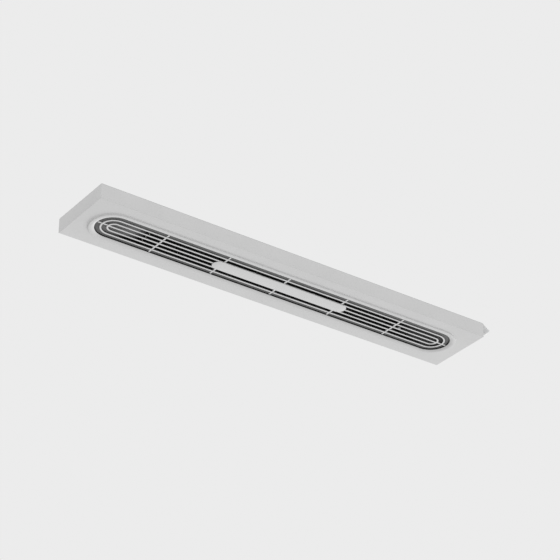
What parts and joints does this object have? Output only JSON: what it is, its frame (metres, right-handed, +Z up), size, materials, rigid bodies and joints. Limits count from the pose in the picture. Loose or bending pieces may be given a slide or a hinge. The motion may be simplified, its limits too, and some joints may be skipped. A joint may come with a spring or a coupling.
{
  "type": "louvred air grille",
  "caption": "Long flat ceiling air grille: stadium bar guard in a bell-mouth lip, blank centre plate, and louvres behind it turned together by a screwdriver adjuster.",
  "frame": {"origin": "on the ceiling plane, at the centre of the four ceiling screw holes and of the duct opening", "axes": "+Z up into the ceiling, +X along the grille towards the fixing ear, -Y the near long side; the grille hangs below z = 0"},
  "size_m": [1.2438, 0.2, 0.045],
  "materials": {
    "white_coat": "fine-texture white powder coat, satin",
    "guard_coat": "smooth white powder coat, satin",
    "bezel_plastic": "moulded white ABS, satin",
    "grey_coat": "mid-grey powder coat, matt",
    "charcoal_coat": "charcoal powder coat, matt",
    "black_coat": "matt black powder coat",
    "black_blade": "matt black anodised extrusion",
    "galvanised": "galvanised sheet with faint spangle",
    "zinc_plate": "bright zinc-plated pressing",
    "zinc_screw": "zinc-plated, slightly worn",
    "spring_steel": "oiled spring steel",
    "pin_steel": "ground steel pin",
    "nylon": "natural nylon",
    "foam_seal": "closed-cell foam strip"
  },
  "bodies": {
    "housing": {"mounting_plate": "galvanised", "face_casing": "white_coat", "end_cap_left": "white_coat", "end_cap_right": "white_coat", "fixing_angle": "zinc_plate", "casing_screws": "zinc_screw", "hook_bracket": "zinc_plate", "hang_clips": "spring_steel", "bezel_ring": "bezel_plastic", "bezel_clips": "spring_steel", "rim_rivets": "zinc_screw", "guard_rim": "black_coat", "inner_guard_ring": "guard_coat", "outer_guard_ring": "guard_coat", "spine_bar": "guard_coat", "end_tie_left": "guard_coat", "end_tie_right": "guard_coat", "centre_plate": "guard_coat", "plate_straps": "zinc_plate", "plate_nuts": "zinc_screw", "aperture_plate": "grey_coat", "end_ramp_left": "grey_coat", "end_ramp_right": "charcoal_coat", "cassette_rail_near": "black_coat", "cassette_rail_far": "black_coat", "cassette_end_left": "black_coat", "cassette_end_right": "black_coat", "bearing_plate": "black_coat", "pivot_bushes_left": "nylon", "pivot_bushes_right": "nylon", "plenum_wall_near": "galvanised", "plenum_wall_far": "galvanised", "plenum_end_left": "galvanised", "plenum_end_right": "galvanised", "plenum_seal": "foam_seal", "plenum_screws": "zinc_screw", "cassette_screws": "zinc_screw", "adjuster_bracket": "black_coat", "adjuster_bush": "nylon", "cross_bar_1": "guard_coat", "cross_bar_2": "guard_coat", "cross_bar_3": "guard_coat", "cross_bar_4": "guard_coat", "cross_bar_5": "guard_coat"},
    "tie_bar": {"tie_bar": "black_coat"},
    "adjuster": {"adjuster_spindle": "zinc_screw", "adjuster_ring": "spring_steel"},
    "louvre_1": {"louvre_blade_1": "black_blade", "pivot_pins_1": "pin_steel", "crank_arm_1": "zinc_plate"},
    "louvre_2": {"louvre_blade_2": "black_blade", "pivot_pins_2": "pin_steel", "crank_arm_2": "zinc_plate"},
    "louvre_3": {"louvre_blade_3": "black_blade", "pivot_pins_3": "pin_steel", "crank_arm_3": "zinc_plate"},
    "louvre_4": {"louvre_blade_4": "black_blade", "pivot_pins_4": "pin_steel", "crank_arm_4": "zinc_plate"}
  },
  "joints": [
    {"name": "louvre_1_tilt", "type": "hinge", "parent": "housing", "child": "louvre_1", "pos_m": [0, -0.02475, -0.0285], "axis": [1, 0, 0], "range_deg": [0, 80]},
    {"name": "louvre_2_tilt", "type": "hinge", "parent": "housing", "child": "louvre_2", "pos_m": [0, -0.00825, -0.0285], "axis": [1, 0, 0], "range_deg": [0, 80]},
    {"name": "louvre_3_tilt", "type": "hinge", "parent": "housing", "child": "louvre_3", "pos_m": [0, 0.00825, -0.0285], "axis": [1, 0, 0], "range_deg": [0, 80]},
    {"name": "louvre_4_tilt", "type": "hinge", "parent": "housing", "child": "louvre_4", "pos_m": [0, 0.02475, -0.0285], "axis": [1, 0, 0], "range_deg": [0, 80]},
    {"name": "tie_bar_swing", "type": "hinge", "parent": "louvre_1", "child": "tie_bar", "pos_m": [0.3854, -0.02475, -0.0225], "axis": [1, 0, 0], "range_deg": [-80, 0]},
    {"name": "adjuster_turn", "type": "hinge", "parent": "housing", "child": "adjuster", "pos_m": [0.391, 0, -0.0285], "axis": [0, 0, 1], "range_deg": [-80, 0]}
  ],
  "couplings": [
    {"joint": "louvre_2_tilt", "follows": "louvre_1_tilt", "ratio": 1},
    {"joint": "louvre_3_tilt", "follows": "louvre_1_tilt", "ratio": 1},
    {"joint": "louvre_4_tilt", "follows": "louvre_1_tilt", "ratio": 1},
    {"joint": "tie_bar_swing", "follows": "louvre_1_tilt", "ratio": -1},
    {"joint": "adjuster_turn", "follows": "louvre_1_tilt", "ratio": -1}
  ]
}
